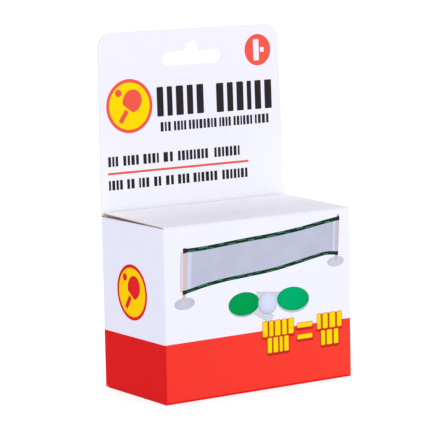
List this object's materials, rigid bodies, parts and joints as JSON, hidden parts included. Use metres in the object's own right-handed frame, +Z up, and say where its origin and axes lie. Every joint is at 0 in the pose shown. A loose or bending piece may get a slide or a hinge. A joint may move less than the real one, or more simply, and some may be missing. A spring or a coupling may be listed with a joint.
{
  "type": "boxed miniature table tennis set",
  "caption": "Folding carton with hang-hole header and opening tuck ends, holding a miniature table tennis set: bats, ball and a net rolled round its suction-cup posts.",
  "frame": {"origin": "centre of the carton's base, on the surface it stands on", "axes": "+X to the right along the printed front, +Y from the front into the carton and towards its back, +Z up along the header"},
  "size_m": [0.1, 0.0534, 0.1594],
  "materials": {
    "printed_board": "satin",
    "flap_board": "matte",
    "bat_core": "satin",
    "bat_rubber": "matte",
    "ball": "satin",
    "post": "satin",
    "suction_cup": "gloss",
    "netting": "matte",
    "net_tape": "matte",
    "net_hem": "matte"
  },
  "bodies": {
    "carton": {"front_panel": "printed_board", "left_side_panel": "printed_board", "right_side_panel": "printed_board", "back_panel": "printed_board", "header_panel": "printed_board", "glue_flap": "flap_board", "bat_1_core": "bat_core", "bat_1_front_rubber": "bat_rubber", "bat_1_back_rubber": "bat_rubber", "bat_2_core": "bat_core", "bat_2_front_rubber": "bat_rubber", "bat_2_back_rubber": "bat_rubber", "ball": "ball", "post_left": "post", "post_right": "post", "suction_cup_left": "suction_cup", "suction_cup_right": "suction_cup", "net_mesh": "netting", "net_top_tape": "net_tape", "net_bottom_tape": "net_tape", "net_left_hem": "net_hem", "net_right_hem": "net_hem"},
    "lid": {"lid_panel": "printed_board"},
    "lid_tuck": {"lid_tuck_flap": "flap_board"},
    "top_left_dust": {"top_left_dust_flap": "flap_board"},
    "top_right_dust": {"top_right_dust_flap": "flap_board"},
    "bottom": {"bottom_panel": "printed_board"},
    "bottom_tuck": {"bottom_tuck_flap": "flap_board"},
    "bottom_left_dust": {"bottom_left_dust_flap": "flap_board"},
    "bottom_right_dust": {"bottom_right_dust_flap": "flap_board"}
  },
  "joints": [
    {"name": "lid_hinge", "type": "hinge", "parent": "carton", "child": "lid", "pos_m": [0, -0.02575, 0.078], "axis": [1, 0, 0], "range_deg": [0, 160]},
    {"name": "lid_tuck_hinge", "type": "hinge", "parent": "lid", "child": "lid_tuck", "pos_m": [0, 0.02445, 0.07885], "axis": [1, 0, 0], "range_deg": [0, 72]},
    {"name": "top_left_dust_hinge", "type": "hinge", "parent": "carton", "child": "top_left_dust", "pos_m": [-0.05, 0, 0.0766], "axis": [0, -1, 0], "range_deg": [0, 104]},
    {"name": "top_right_dust_hinge", "type": "hinge", "parent": "carton", "child": "top_right_dust", "pos_m": [0.05, 0, 0.0766], "axis": [0, 1, 0], "range_deg": [0, 104]},
    {"name": "bottom_hinge", "type": "hinge", "parent": "carton", "child": "bottom", "pos_m": [0, -0.02575, 0], "axis": [-1, 0, 0], "range_deg": [0, 160]},
    {"name": "bottom_tuck_hinge", "type": "hinge", "parent": "bottom", "child": "bottom_tuck", "pos_m": [0, 0.02445, 0.0006], "axis": [-1, 0, 0], "range_deg": [0, 72]},
    {"name": "bottom_left_dust_hinge", "type": "hinge", "parent": "carton", "child": "bottom_left_dust", "pos_m": [-0.05, 0, 0.00135], "axis": [0, 1, 0], "range_deg": [0, 104]},
    {"name": "bottom_right_dust_hinge", "type": "hinge", "parent": "carton", "child": "bottom_right_dust", "pos_m": [0.05, 0, 0.00135], "axis": [0, -1, 0], "range_deg": [0, 104]}
  ],
  "couplings": [
    {"joint": "lid_tuck_hinge", "follows": "lid_hinge", "ratio": 0.45},
    {"joint": "top_left_dust_hinge", "follows": "lid_hinge", "ratio": 0.65},
    {"joint": "top_right_dust_hinge", "follows": "lid_hinge", "ratio": 0.65},
    {"joint": "bottom_tuck_hinge", "follows": "bottom_hinge", "ratio": 0.45},
    {"joint": "bottom_left_dust_hinge", "follows": "bottom_hinge", "ratio": 0.65},
    {"joint": "bottom_right_dust_hinge", "follows": "bottom_hinge", "ratio": 0.65}
  ]
}
